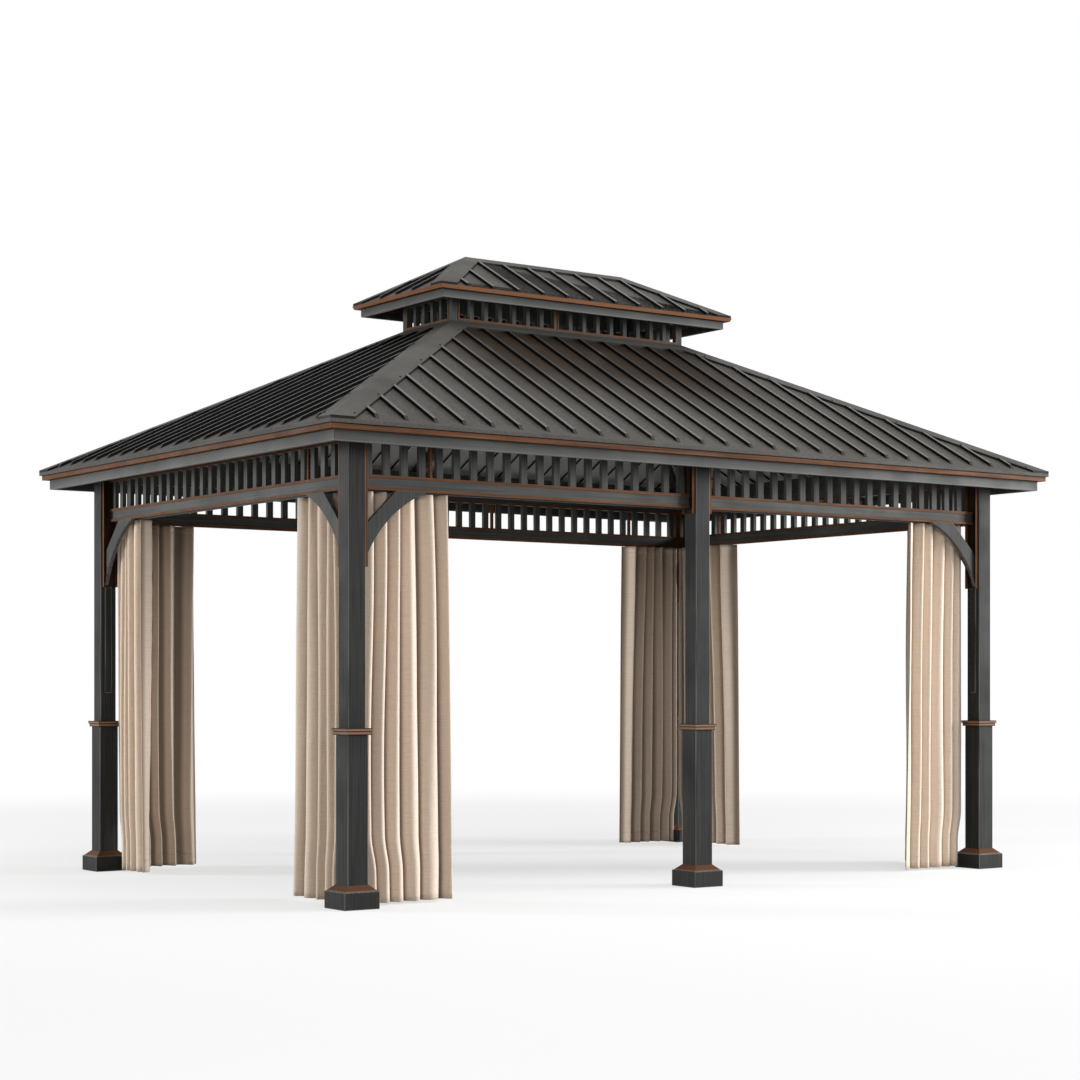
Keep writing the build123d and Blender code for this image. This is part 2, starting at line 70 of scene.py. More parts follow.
class Wire:
    # A socket that plain maths can be written on
    def __init__(self, graph, socket):
        self.graph = graph
        self.socket = socket

    def maths(self, operation, *others):
        values = dict(enumerate((self, *others)))
        return self.graph.add("ShaderNodeMath", {"operation": operation}, values)

    def __add__(self, other):
        return self.maths("ADD", other)

    def __radd__(self, other):
        return self.maths("ADD", other)

    def __mul__(self, other):
        return self.maths("MULTIPLY", other)

    def __rmul__(self, other):
        return self.maths("MULTIPLY", other)

    def __sub__(self, other):
        return self.maths("SUBTRACT", other)

    def __rsub__(self, other):
        return self.graph.add("ShaderNodeMath", {"operation": "SUBTRACT"}, {0: other, 1: self})

    def __pow__(self, other):
        return self.maths("POWER", other)

    def __abs__(self):
        return self.maths("ABSOLUTE")

    def __gt__(self, other):
        return self.maths("GREATER_THAN", other)

    def __lt__(self, other):
        return self.maths("LESS_THAN", other)

    def sine(self):
        return self.maths("SINE")

    def ramp(self, low, high, bottom=0.0, top=1.0):
        # A smooth step from bottom to top as the value goes from low to high
        values = {0: self, 1: low, 2: high, 3: bottom, 4: top}
        return self.graph.add("ShaderNodeMapRange", {"interpolation_type": "SMOOTHSTEP"}, values)


class Graph:
    def __init__(self, tree):
        self.tree = tree

    def add(self, kind, settings=None, inputs=None, out=0):
        node = self.tree.nodes.new(kind)
        for name, value in (settings or {}).items():
            setattr(node, name, value)
        for key, value in (inputs or {}).items():
            if isinstance(value, Wire):
                self.tree.links.new(value.socket, node.inputs[key])
            else:
                node.inputs[key].default_value = value
        return Wire(self, node.outputs[out]) if len(node.outputs) else node

    def another(self, wire, out):
        return Wire(self, wire.socket.node.outputs[out])

    def vector(self, x, y, z):
        return self.add("ShaderNodeCombineXYZ", None, {0: x, 1: y, 2: z})

    def split(self, vector):
        first = self.add("ShaderNodeSeparateXYZ", None, {0: vector})
        return first, self.another(first, 1), self.another(first, 2)

    def noise(self, vector, scale, detail=2.0, roughness=0.5, seed=None):
        inputs = {"Vector": vector, "Scale": scale, "Detail": detail, "Roughness": roughness}
        if seed is not None:
            inputs["W"] = seed
        dimensions = "3D" if seed is None else "4D"
        return self.add("ShaderNodeTexNoise", {"noise_dimensions": dimensions}, inputs)

    def clothNoise(self, across, up, recipe, seed=None):
        # The recipe is the scale across and up, a layer, the detail and the roughness
        wide, tall, layer, detail, roughness = recipe
        place = self.vector(across * wide, up * tall, layer)
        return self.noise(place, 1.0, detail, roughness, seed)

    def tint(self, factor, first, second):
        # Two colours mixed
        return self.add("ShaderNodeMix", {"data_type": "RGBA"}, {0: factor, 6: first, 7: second}, 2)

    def attribute(self, name):
        # A number that the mesh carries
        return self.add("ShaderNodeAttribute", {"attribute_name": name}, None, "Fac")


def colour(red, green, blue):
    return (red, green, blue, 1.0)


# Materials

def startMaterial(name):
    material = bpy.data.materials.new(name)
    material.use_nodes = True
    material.node_tree.nodes.clear()
    return material, Graph(material.node_tree)


def objectPoint(graph):
    return graph.add("ShaderNodeTexCoord", None, None, "Object")


def finishMaterial(graph, surface, height, bump):
    # The shader with its bump, and the output
    strength, distance = bump
    relief = {"Strength": strength, "Distance": distance, "Height": height}
    inputs = {**surface, "Normal": graph.add("ShaderNodeBump", None, relief)}
    shader = graph.add("ShaderNodeBsdfPrincipled", None, inputs)
    graph.add("ShaderNodeOutputMaterial", None, {"Surface": shader})


def streaked(graph, point, along, finish):
    # Noise on object coordinates drawn out along X, Y or Z, which gives streaks
    x, y, z = graph.split(point)
    fineness, length, detail, roughness = finish["streaks"]
    scales = [length if axis == along else fineness for axis in "XYZ"]
    drawn = graph.vector(x * scales[0], y * scales[1], z * scales[2])
    return graph.noise(drawn, 1.0, detail, roughness)


def threeTones(graph, finish, streaks, clouds):
    # The finish's colour between dark and light streaks, and darker again in broad patches
    base = graph.tint(streaks.ramp(*finish["darkEnds"]), finish["dark"], finish["colour"])
    light = streaks.ramp(*finish["lightEnds"]) * finish["lightShare"]
    both = graph.tint(light, base, finish["light"])
    patches = clouds.ramp(*finish["patchEnds"]) * finish["patchShare"]
    return graph.tint(patches, both, finish["dark"])


def coated(finish, paint, clouds):
    # What the shader of a painted metal gets; broad patches vary its roughness
    return {
        "Base Color": paint,
        "Metallic": finish["metallic"],
        "Roughness": clouds.ramp(0.3, 0.7, *finish["roughness"]),
        "Specular IOR Level": finish["specular"],
    }


# For the metals, "streaks" is a noise's scale across and along the brushing, its detail and
# roughness, "clouds" is a noise's scale, detail and roughness, and "grain" the finest noise's
# scale. The ends are the noise values between which a tone comes in, a share is how much of it,
# "relief" is how much of each noise the bump takes, and "bump" its strength and distance
charcoalFinish = {
    "colour": colour(0.040, 0.0420, 0.0395),
    "dark": colour(0.024, 0.0252, 0.0240),
    "light": colour(0.066, 0.0685, 0.0645),
    # paler: on eased edges part wear and part painted highlight, and the painted light on boards
    "edge": colour(0.130, 0.131, 0.126),
    "streaks": (160.0, 2.2, 3.0, 0.6),
    "clouds": (3.1, 3.0, 0.55),
    "grain": 900.0,
    "darkEnds": (0.36, 0.52),
    "lightEnds": (0.55, 0.78),
    "lightShare": 1.0,
    "patchEnds": (0.3, 0.75),
    "patchShare": 0.35,
    "edgeWearAndHighlightEnds": (0.30, 0.60),
    "edgeWearAndHighlightShare": 0.75,             # on eased edges: part wear, part painted highlight
    "boardLightFade": 0.34,             # painted light: paler to the lower edge of a board
    "boardHighlightEdge": (0.006, 0.35),    # height of the painted highlight at that edge, and how pale it is
    "metallic": 0.10,
    "roughness": (0.50, 0.64),
    "streakRoughness": 0.12,
    "specular": 0.10,
    "relief": (0.6, 0.4),          # of streaks and grain
    "bump": (0.12, 0.0006),
}

# A darker copy of the charcoal for posts and their bases, as painted shade, with a stronger painted
# highlight on the eased edges
postShadedFinish = {
    **charcoalFinish,
    "colour": colour(0.026, 0.0275, 0.0260),
    "dark": colour(0.015, 0.0160, 0.0150),
    "light": colour(0.046, 0.0480, 0.0450),
    "edge": colour(0.190, 0.192, 0.186),
    "metallic": 0.05,
    "specular": 0.06,
}

# A paler copy of the charcoal for the friezes, as painted light where the eave shades them
friezeLitFinish = {
    **charcoalFinish,
    "colour": colour(0.050, 0.0520, 0.0490),
    "dark": colour(0.030, 0.0310, 0.0295),
    "light": colour(0.080, 0.0825, 0.0780),
}


def makeCharcoal(name, along, finish=charcoalFinish, frieze=False, board=None):
    # Dark powder coat with a faint brushed streak; eased edges are paler, part wear and part
    # painted highlight; a board (foot, head) takes painted light, paler to its lower edge with a
    # painted highlight along that edge
    material, graph = startMaterial(name)
    point = objectPoint(graph)
    _, _, z = graph.split(point)
    streaks = streaked(graph, point, along, finish)
    if frieze:
        # Slats are brushed upwards between the rails
        standing = streaked(graph, point, "Z", finish)
        between = (z > plan["railTop"]) * (z < plan["upperRailFoot"])
        streaks = streaks * (1 - between) + standing * between
    clouds = graph.noise(point, *finish["clouds"])
    grain = graph.noise(point, finish["grain"])
    toned = threeTones(graph, finish, streaks, clouds)
    # Eased edges paler: part wear, part painted highlight
    wearAndHighlight = graph.attribute("eased") * streaks.ramp(*finish["edgeWearAndHighlightEnds"]) * finish["edgeWearAndHighlightShare"]
    wornAndLit = graph.tint(wearAndHighlight, toned, finish["edge"])
    # Painted light on a board: paler towards its lower edge, with a painted highlight along that
    # edge
    if board:
        foot, head = board
        edge, share = finish["boardHighlightEdge"]
        paler = graph.tint(z.ramp(foot, head, finish["boardLightFade"], 0.0), wornAndLit, finish["edge"])
        wornAndLit = graph.tint((z < foot + edge) * share, paler, finish["edge"])
    surface = coated(finish, wornAndLit, clouds)
    surface["Roughness"] += (streaks - 0.5) * finish["streakRoughness"]
    height = streaks * finish["relief"][0] + grain * finish["relief"][1]
    finishMaterial(graph, surface, height, finish["bump"])
    return material


roofFinish = {
    "pan": colour(0.080, 0.075, 0.068),
    "panDark": colour(0.052, 0.048, 0.044),
    # painted highlight on the seams' tops
    "seamTopHighlight": colour(0.145, 0.142, 0.136),
    "panReflectedShade": colour(0.016, 0.010, 0.006),   # painted reflection of the bronze and painted shade, below the cupola
    "side": colour(0.006, 0.006, 0.006),      # painted shade on the standing sides of the seams
    "under": colour(0.350, 0.350, 0.343),     # the underside painted paler, as painted light
    "streaks": (120.0, 1.6, 2.0, 0.6),
    "clouds": (2.3, 4.0, 0.6),
    "grain": 700.0,
    "darkEnds": (0.35, 0.7),
    "patchEnds": (0.35, 0.8),
    "patchShare": 0.4,
    "capEnds": (0.30, 0.75),
    "reflectedShadeHeights": (2.48, 2.86, 3.2),         # where it comes in and is full, and its upper end
    "reflectedShadeMiddle": -0.1,
    "reflectedShadeReach": (1.25, 0.65),                # from the middle, to nothing and to full
    "reflectedShadePatches": (0.25, 0.5, 0.5, 1.0),
    "reflectedShadeShare": 0.90,
    "seamHeights": (0.006, 0.012),            # over the pan
    "seamHighlightShare": (0.8, 0.7),                  # of the painted highlight on its top, and less of it in the painted reflection and shade
    "upright": (0.40, 0.84),                  # upward part of a normal, from the painted shade of a side to pan
    "underFrom": -0.3,
    "metallic": 0.0,
    "roughness": (0.52, 0.66),
    "specular": 0.06,
    "relief": (0.5, 0.5),
    "bump": (0.10, 0.0008),
}


def makeRoofSheet(name, along, finish=roofFinish):
    # Pre-painted sheet, faintly streaked down the slope, with painted shade on the seams' sides, a
    # painted highlight on their tops, painted reflection and shade below the cupola and painted
    # light on the underside
    material, graph = startMaterial(name)
    point = objectPoint(graph)
    x, _, z = graph.split(point)
    streaks = streaked(graph, point, along, finish)
    clouds = graph.noise(point, *finish["clouds"])
    grain = graph.noise(point, finish["grain"])
    base = graph.tint(streaks.ramp(*finish["darkEnds"]), finish["panDark"], finish["pan"])
    patches = clouds.ramp(*finish["patchEnds"]) * finish["patchShare"]
    toned = graph.tint(patches, base, finish["panDark"])
    # Painted reflection of the bronze and painted shade, brown, below the cupola, in patches
    foot, full, top = finish["reflectedShadeHeights"]
    beside = abs(x - finish["reflectedShadeMiddle"]).ramp(*finish["reflectedShadeReach"])
    reflectedShade = z.ramp(foot, full) * (1 - (z > top)) * beside * clouds.ramp(*finish["reflectedShadePatches"])
    shadedPan = graph.tint(reflectedShade * finish["reflectedShadeShare"], toned, finish["panReflectedShade"])
    facing = graph.attribute("faceUp")
    paler, lessPale = finish["seamHighlightShare"]
    # Painted highlight on the seams' tops, less of it in the painted reflection and shade below the
    # cupola
    seamHighlight = graph.attribute("raised").ramp(*finish["seamHeights"]) * (paler - reflectedShade * lessPale)
    topped = graph.tint(seamHighlight, shadedPan, finish["seamTopHighlight"])
    steep, level = finish["upright"]
    # Painted shade on steep faces, the seams' standing sides
    sided = graph.tint(abs(facing).ramp(steep, level), finish["side"], topped)
    # The underside painted paler, as painted light, and painted shade on its steep faces
    under = graph.tint(facing.ramp(-steep, -level), finish["side"], finish["under"])
    painted = graph.tint(facing < finish["underFrom"], sided, under)
    height = streaks * finish["relief"][0] + grain * finish["relief"][1]
    finishMaterial(graph, coated(finish, painted, clouds), height, finish["bump"])
    return material


def makeCapSheet(name, finish=roofFinish):
    # The folded caps over hips and ridge, in the same sheet but without streaks or seams; painted
    # shade on their steep faces
    material, graph = startMaterial(name)
    point = objectPoint(graph)
    clouds = graph.noise(point, *finish["clouds"])
    grain = graph.noise(point, finish["grain"])
    toned = graph.tint(clouds.ramp(*finish["capEnds"]), finish["pan"], finish["panDark"])
    # Painted shade on the caps' steep faces
    level = abs(graph.attribute("faceUp")).ramp(*finish["upright"])
    painted = graph.tint(level, finish["side"], toned)
    finishMaterial(graph, coated(finish, painted, clouds), grain, finish["bump"])
    return material


bronzeFinish = {
    "colour": colour(0.104, 0.043, 0.019),
    "light": colour(0.190, 0.086, 0.042),     # rubbed; on eased edges part wear, part painted highlight
    "dark": colour(0.050, 0.023, 0.012),
    "inner": colour(0.012, 0.008, 0.006),     # painted shade inside the channels on the posts
    "streaks": (140.0, 2.0, 3.0, 0.6),
    "clouds": (5.0, 4.0, 0.6),
    "grain": 800.0,
    "darkEnds": (0.32, 0.55),
    "lightEnds": (0.52, 0.78),
    "lightShare": 0.7,
    "patchEnds": (0.45, 0.8),
    "patchShare": 0.5,
    "edgeWearAndHighlightShare": 0.6,
    "innerShare": 0.9,
    "jointWidth": 0.0016,      # half of it
    "jointShare": 0.85,
    "bandShare": 0.9,
    "metallic": 0.05,
    "roughness": (0.50, 0.64),
    "specular": 0.05,
    "relief": (0.5, 0.5),
    "bump": (0.15, 0.0006),
}

darkBronzeFinish = {
    **bronzeFinish,
    "colour": colour(0.044, 0.020, 0.010),
    "light": colour(0.120, 0.056, 0.030),
    "dark": colour(0.024, 0.012, 0.007),
    "metallic": 0.0,
    "specular": 0.06,
    # painted highlights and painted shade lines on the base trims
    "bandHighlight": colour(0.200, 0.118, 0.076),
    "bandShade": colour(0.022, 0.010, 0.005),
}

# Painted bands (foot, head, colour): the dark line over the eave trim, then on the base trims
# a painted highlight at the cap's lower edge, and painted highlights and painted shade lines on the
# collar from its foot up
eaveBands = [(2.3110, 2.3180, bronzeFinish["inner"])]
baseBands = [
    (0.080, 0.0905, darkBronzeFinish["bandHighlight"]),
    (0.838, 0.8455, darkBronzeFinish["bandShade"]),
    (0.8455, 0.8560, darkBronzeFinish["bandHighlight"]),
    (0.8560, 0.8612, darkBronzeFinish["bandShade"]),
    (0.8612, 0.8705, darkBronzeFinish["bandHighlight"]),
    (0.8705, 0.8800, darkBronzeFinish["bandShade"]),
]

# Thin butt joints of the eave trim: axis, place on it and least distance the other way
eaveJoints = [("X", 0.090, 1.5), ("Y", 0.629, 2.2)]


def makeBronze(name, along, finish=bronzeFinish, joints=(), bands=()):
    # Rubbed bronze paint
    material, graph = startMaterial(name)
    point = objectPoint(graph)
    x, y, z = graph.split(point)
    streaks = streaked(graph, point, along, finish)
    clouds = graph.noise(point, *finish["clouds"])
    grain = graph.noise(point, finish["grain"])
    toned = threeTones(graph, finish, streaks, clouds)
    # Eased edges paler: part wear, part painted highlight
    wornAndLit = graph.tint(graph.attribute("eased") * finish["edgeWearAndHighlightShare"], toned, finish["light"])
    # Painted shade on the inner faces of the channels on the posts
    painted = graph.tint(graph.attribute("inner") * finish["innerShare"], wornAndLit, finish["inner"])
    height = streaks * finish["relief"][0] + grain * finish["relief"][1]
    for axis, place, apart in joints:
        across, other = (x, y) if axis == "X" else (y, x)
        line = (abs(across - place) < finish["jointWidth"]) * (abs(other) > apart)
        painted = graph.tint(line * finish["jointShare"], painted, finish["dark"])
        height = height * (1 - line)
    for foot, head, paint in bands:
        painted = graph.tint((z > foot) * (z < head) * finish["bandShare"], painted, paint)
    finishMaterial(graph, coated(finish, painted, clouds), height, finish["bump"])
    return material


linenFinish = {
    "colour": colour(0.705, 0.580, 0.468),
    "dark": colour(0.610, 0.487, 0.378),      # the slubs' two tones
    "light": colour(0.765, 0.652, 0.545),
    "foldShade": colour(0.150, 0.100, 0.065),   # painted shade deep in the folds
    "foldShadeRange": (0.42, 0.90, 0.80),  # where that begins and ends, and how strong it is
    "threads": (1400.0, 1100.0),   # per metre, across and down
    "slubs": (9.0, 240.0, 0.0, 3.0, 0.65),
    "broad": (3.0, 60.0, 4.0, 2.0, 0.5),
    "darkEnds": (0.28, 0.50),
    "lightEnds": (0.52, 0.74),
    "lightShare": 0.6,
    "patchEnds": (0.4, 0.8),
    "patchShare": 0.15,
    "hemHeight": 0.070,
    "stitchWidth": 0.0016,         # half of it
    "stitches": (900.0, -0.3),     # how close they are, and how long: lower is longer
    "stitchShare": 0.3,
    "relief": (0.35, 1.3, 1.0),    # of weave, slubs and stitches
    "roughness": 0.86,
    "specular": 0.25,
    "sheen": (0.25, 0.5),          # how much and how rough
    "bump": (0.55, 0.0008),
}


def makeLinen(name, finish=linenFinish):
    # A plain weave with long slubs across, on the cloth's own flat coordinates in metres, with
    # painted shade deep in its folds
    material, graph = startMaterial(name)
    across, down, _ = graph.split(graph.add("ShaderNodeUVMap", {"uv_map": "UVMap"}))
    slubs = graph.clothNoise(across, down, finish["slubs"])
    broad = graph.clothNoise(across, down, finish["broad"])
    warp = (across * finish["threads"][0] * math.pi).sine()
    weft = (down * finish["threads"][1] * math.pi).sine()
    closeness, shortness = finish["stitches"]
    line = abs(down - finish["hemHeight"]) < finish["stitchWidth"]
    stitch = line * ((across * closeness).sine() > shortness)
    toned = threeTones(graph, finish, slubs, broad)
    sewn = graph.tint(stitch * finish["stitchShare"], toned, finish["dark"])
    # Painted shade deep in the folds
    low, high, strength = finish["foldShadeRange"]
    foldShading = graph.attribute("deep").ramp(low, high, 0.0, strength)
    weave, slub, sunk = finish["relief"]
    height = warp * weft * weave + slubs * slub - stitch * sunk
    surface = {
        "Base Color": graph.tint(foldShading, sewn, finish["foldShade"]),
        "Metallic": 0.0,
        "Roughness": finish["roughness"],
        "Specular IOR Level": finish["specular"],
        "Sheen Weight": finish["sheen"][0],
        "Sheen Roughness": finish["sheen"][1],
    }
    finishMaterial(graph, surface, height, finish["bump"])
    return material


charcoal = {along: makeCharcoal("charcoal" + along, along) for along in "XZ"}
friezeCharcoal = {
    along: makeCharcoal("friezeCharcoal" + along, along, friezeLitFinish, frieze=True)
    for along in "XY"
}
roofSheet = {along: makeRoofSheet("roofSheet" + along, along) for along in "XY"}
bronze = {along: makeBronze("bronze" + along, along) for along in "XZ"}
postShadedCharcoal = makeCharcoal("postShadedCharcoal", "Z", postShadedFinish)
darkBronze = makeBronze("darkBronze", "X", darkBronzeFinish, bands=baseBands)
eaveBronze = makeBronze("eaveBronze", "X", joints=eaveJoints, bands=eaveBands)
lowerFasciaCharcoal = makeCharcoal("lowerFasciaCharcoal", "X", board=plan["lowerFascia"])
upperFasciaCharcoal = makeCharcoal("upperFasciaCharcoal", "X", board=plan["upperFascia"])
capSheet = makeCapSheet("capSheet")
linen = makeLinen("linen")
print("materials made")


# Frame pieces: copies of the CAD nodes with eased edges, which take the light

# How far each kind of edge is eased, in metres
easedEdges = {
    "post": 0.0035,
    "upperTrim": 0.0030,
    "board": 0.0020,
    "sheet": 0.0015,
    "slat": 0.0012,
    "strip": 0.0010,
    "cupolaStrip": 0.0007,
}

easing = {
    "segments": 2,
    "sharpFrom": 25,        # degrees at an edge, where the bevel begins
    "flatWithin": 0.6,      # degrees, for faces that count as one
    "mergeWithin": 1e-5,
    "bevelNormal": 0.985,   # a bevel's normal has no larger part than this
}

# What makes a face part of the eave lip, a channel or the upper roof; lengths in metres
faceTests = {
    "lipDepth": 0.003,
    "lipOver": 0.002,               # over the eave's height
    "lipSteepness": 0.8,            # most upward part of its normal
    "channelOut": (0.002, 0.010),   # from the post's face
    "channelAside": 0.020,          # from the post's middle line
    "aboveCupolaFoot": 0.1,         # where the upper roof begins
}


def plainMesh(made, name):
    # An evaluated object as a mesh of its own, in an object at the origin
    depsgraph = bpy.context.evaluated_depsgraph_get()
    mesh = bpy.data.meshes.new_from_object(made.evaluated_get(depsgraph))
    bpy.data.objects.remove(made)
    mesh.name = name
    piece = bpy.data.objects.new(name, mesh)
    scene.collection.objects.link(piece)
    return piece


def dressed(piece, material, replaced=()):
    piece.data.materials.clear()
    piece.data.materials.append(material)
    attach(piece, "root")
    if replaced:
        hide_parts(*replaced)
    return piece


def overRoof(point):
    # Height over the sheet of the roof that the point belongs to
    upper = point.z >= plan["cupolaFoot"][2] + faceTests["aboveCupolaFoot"]
    low, high = (plan["upperEave"], plan["ridge"]) if upper else (plan["eave"], plan["cupolaFoot"])
    heights = []
    for axis, place in enumerate((abs(point.x), abs(point.y))):
        run = low[axis] - high[axis]
        heights.append(low[2] + (low[axis] - place) * (high[2] - low[2]) / run)
    return point.z - min(heights)


def onLip(point, normal):
    # Whether a face is on the outer side of the lower roof's eave lip
    halfLength, halfWidth, height = plan["eave"]
    depth = faceTests["lipDepth"]
    outside = abs(point.x) > halfLength - depth or abs(point.y) > halfWidth - depth
    upright = abs(normal.z) < faceTests["lipSteepness"]
    return outside and upright and point.z < height + faceTests["lipOver"]


def insideChannel(point):
    # Whether a point is on the inner face of the U channel on its post
    postX = round(point.x / plan["halfLength"]) * plan["halfLength"]
    post = Vector((postX, math.copysign(plan["halfSpan"], point.y)))
    away = Vector((abs(point.x - post.x), abs(point.y - post.y)))
    least, most = [plan["halfPost"] + number for number in faceTests["channelOut"]]
    return least < max(away) < most and min(away) < faceTests["channelAside"]


def easeEdges(node, width, material):
    # The node again with merged faces and a small bevel
    source = nodes[node]
    shape = bmesh.new()
    shape.from_mesh(source.data)
    bmesh.ops.remove_doubles(shape, verts=shape.verts, dist=easing["mergeWithin"])
    flat = math.radians(easing["flatWithin"])
    bmesh.ops.dissolve_limit(shape, angle_limit=flat, verts=shape.verts, edges=shape.edges)
    for face in shape.faces:
        face.smooth = False
    mesh = bpy.data.meshes.new(node + "_blank")
    shape.to_mesh(mesh)
    shape.free()
    blank = bpy.data.objects.new(node + "_blank", mesh)
    scene.collection.objects.link(blank)
    bevel = blank.modifiers.new("bevel", "BEVEL")
    bevel.width = width
    bevel.segments = easing["segments"]
    bevel.limit_method = "ANGLE"
    bevel.angle_limit = math.radians(easing["sharpFrom"])
    bevel.use_clamp_overlap = True
    bpy.context.view_layer.update()
    piece = plainMesh(blank, "eased_" + node)
    # faceUp and raised place the roof's painted shade, painted highlight and painted light on the
    # underside; the eave lip counts as level and not raised
    marks = {"faceUp": [], "eased": [], "raised": [], "inner": []}
    for face in piece.data.polygons:
        lip = onLip(face.center, face.normal)
        marks["faceUp"].append(1.0 if lip else face.normal.z)
        marks["raised"].append(0.0 if lip else overRoof(face.center))
        largest = max(abs(number) for number in face.normal)
        marks["eased"].append(float(largest < easing["bevelNormal"]))
        marks["inner"].append(float(node == "mount_channels" and insideChannel(face.center)))
    for label, values in marks.items():
        piece.data.attributes.new(label, "FLOAT", "FACE").data.foreach_set("value", values)
    return dressed(piece, material, [node])


# Each node with its easing, material and slot, from the posts up
dressing = [
    (node, "post", postShadedCharcoal, "charcoal")
    for node in nodes if node.startswith("post_") and not node.startswith("post_base")
]
dressing += [
    ("post_bases", "post", postShadedCharcoal, "charcoal"),
    ("post_base_trims", "board", darkBronze, "bronze"),
    ("mount_channels", "strip", bronze["Z"], "bronze"),
    ("knee_braces", "board", charcoal["Z"], "charcoal"),
]
for bay in ("front_left", "front_right", "back_left", "back_right", "left", "right"):
    along = "X" if "_" in bay else "Y"
    dressing.append(("frieze_" + bay, "slat", friezeCharcoal[along], "charcoal"))
dressing += [
    ("frieze_trims", "strip", bronze["X"], "bronze"),
    ("lower_eave_trim", "strip", eaveBronze, "bronze"),
    ("upper_eave_trim", "upperTrim", bronze["X"], "bronze"),
    ("lower_fascia", "board", lowerFasciaCharcoal, "charcoal"),
    ("upper_fascia", "board", upperFasciaCharcoal, "charcoal"),
]
for level in ("lower", "upper"):
    for side, along in (("front", "Y"), ("back", "Y"), ("left", "X"), ("right", "X")):
        dressing.append((f"{level}_roof_{side}", "sheet", roofSheet[along], "roof_sheet"))
for level in ("lower", "upper"):
    dressing.append((level + "_roof_caps", "sheet", capSheet, "roof_sheet"))
for side in ("front", "back", "left", "right"):
    dressing.append(("cupola_" + side, "slat", charcoal["Z"], "charcoal"))
dressing.append(("cupola_trims", "cupolaStrip", bronze["X"], "bronze"))

for node, edge, material, slotName in dressing:
    easeEdges(node, easedEdges[edge], material)
for node in ("cupola_curb", "curtain_tracks", "rafters", "top_plates"):
    nodes[node].data.materials.clear()
    nodes[node].data.materials.append(charcoal["X"])
print("frame pieces dressed")


# Geometry Nodes

def startTree(name, inputs):
    tree = bpy.data.node_groups.new(name, "GeometryNodeTree")
    tree.interface.new_socket("Geometry", in_out="INPUT", socket_type="NodeSocketGeometry")
    tree.interface.new_socket("Geometry", in_out="OUTPUT", socket_type="NodeSocketGeometry")
    kinds = {int: "NodeSocketInt", float: "NodeSocketFloat"}
    for label, value in inputs.items():
        socket = tree.interface.new_socket(label, in_out="INPUT", socket_type=kinds[type(value)])
        socket.default_value = value
    graph = Graph(tree)
    first = graph.add("NodeGroupInput")
    given = {label: graph.another(first, label) for label in ("Geometry", *inputs)}
    return tree, graph, given


def endTree(graph, geometry, material):
    real = graph.add("GeometryNodeRealizeInstances", None, {"Geometry": geometry})
    painted = graph.add("GeometryNodeSetMaterial", None, {"Geometry": real, "Material": material})
    graph.add("NodeGroupOutput", None, {"Geometry": painted})


def grow(tree, values, name, points=None, wall=None):
    # Runs a tree and gives its result as a plain mesh in a piece
    mesh = bpy.data.meshes.new(name + "_seed")
    if points:
        mesh.from_pydata([place for place, _ in points], [], [])
        facing = mesh.attributes.new("facing", "FLOAT_VECTOR", "POINT")
        facing.data.foreach_set("vector", [number for _, way in points for number in way])
    holder = bpy.data.objects.new(name + "_seed", mesh)
    scene.collection.objects.link(holder)
    modifier = holder.modifiers.new("nodes", "NODES")
    modifier.node_group = tree
    for item in tree.interface.items_tree:
        if item.in_out == "INPUT" and item.name in values:
            modifier[item.identifier] = values[item.name]
    if wall:
        solid = holder.modifiers.new("wall", "SOLIDIFY")
        solid.thickness = wall
        solid.offset = 0.0
    bpy.context.view_layer.update()
    return plainMesh(holder, name)


# Curtains

curtain = {
    "drop": 2.0175,
    "footGap": 0.0125,
    "folds": 5.5,            # the free edge ends on a crest
    "depth": 0.0900,         # front to back of the folds
    "wander": 1.25,          # how far the folds stray, in folds
    "widening": 0.24,        # how much wider the folds get towards the free edge
    "roundness": 0.35,       # how far the folds bulge over their valleys
    "bulge": 0.012,          # share of the width that a roundness of 1 gives
    "fullness": 0.95,        # lower for broad round folds with narrow valleys
    "fullnessInside": 1.6,   # for the curtains that are seen from inside
    "slack": 0.004,          # small unevenness
    "straightEdges": 0.10,   # share of the width at each edge where folds stray less
    "cornerFolds": (0.14, 0.22),    # share of the width with shallow folds, and how shallow
    "footDepth": (0.85, 0.80),      # share of the drop where they are full, and share at the foot
    "swellDepth": (0.32, 0.58, 0.62, 1.0),    # noise values, and the depth's shares there
    "stepsAcross": 28,       # per fold
    "stepsDown": 56,
    "bandStepsDown": 3,      # for hem and tape
    "cloth": 0.0014,
    "flatWidth": 1.15,
    "cornerGap": 0.080,      # from the corner post's centre
    "inset": 0.061,          # middle of the folds, inside the post line
    "plinthPush": 0.028,     # how far the plinth holds the cloth off at the foot
    "plinthFade": (0.075, 0.165),   # shares of the drop between which that ends
    "tapeHeight": 0.045,
    "bandEnds": (0.001, 0.998),     # lowest point of the hem and highest of the tape
    "standOff": 0.0009,      # of hem and tape from the cloth
    "seeds": (3.7, 1.9, 5.0),       # per side, per hand and to start with
}

# Recipes of the noise that moves the folds, per fold and per drop
clothNoises = {
    "stray": (0.42, 0.85, 0.0, 1.0, 0.4),
    "swell": (0.55, 0.70, 7.0, 1.0, 0.4),
    "slack": (1.40, 3.20, 3.0, 2.0, 0.5),
}

# Width at the top, gathered, and how much wider the foot is
curtainWidths = {
    "front_at_left": (0.482, 0.085),
    "front_at_right": (0.456, 0.080),
    "right_at_front": (0.470, 0.075),
    "right_at_back": (0.558, 0.066),
    "back_at_right": (0.440, 0.060),
    "back_at_left": (0.482, 0.030),
    "left_at_back": (0.365, 0.010),
    "left_at_front": (0.502, 0.095),
}

# The two corners that each side's curtains hang at
curtainCorners = {
    "front": ("left", "right"),
    "right": ("front", "back"),
    "back": ("right", "left"),
    "left": ("back", "front"),
}


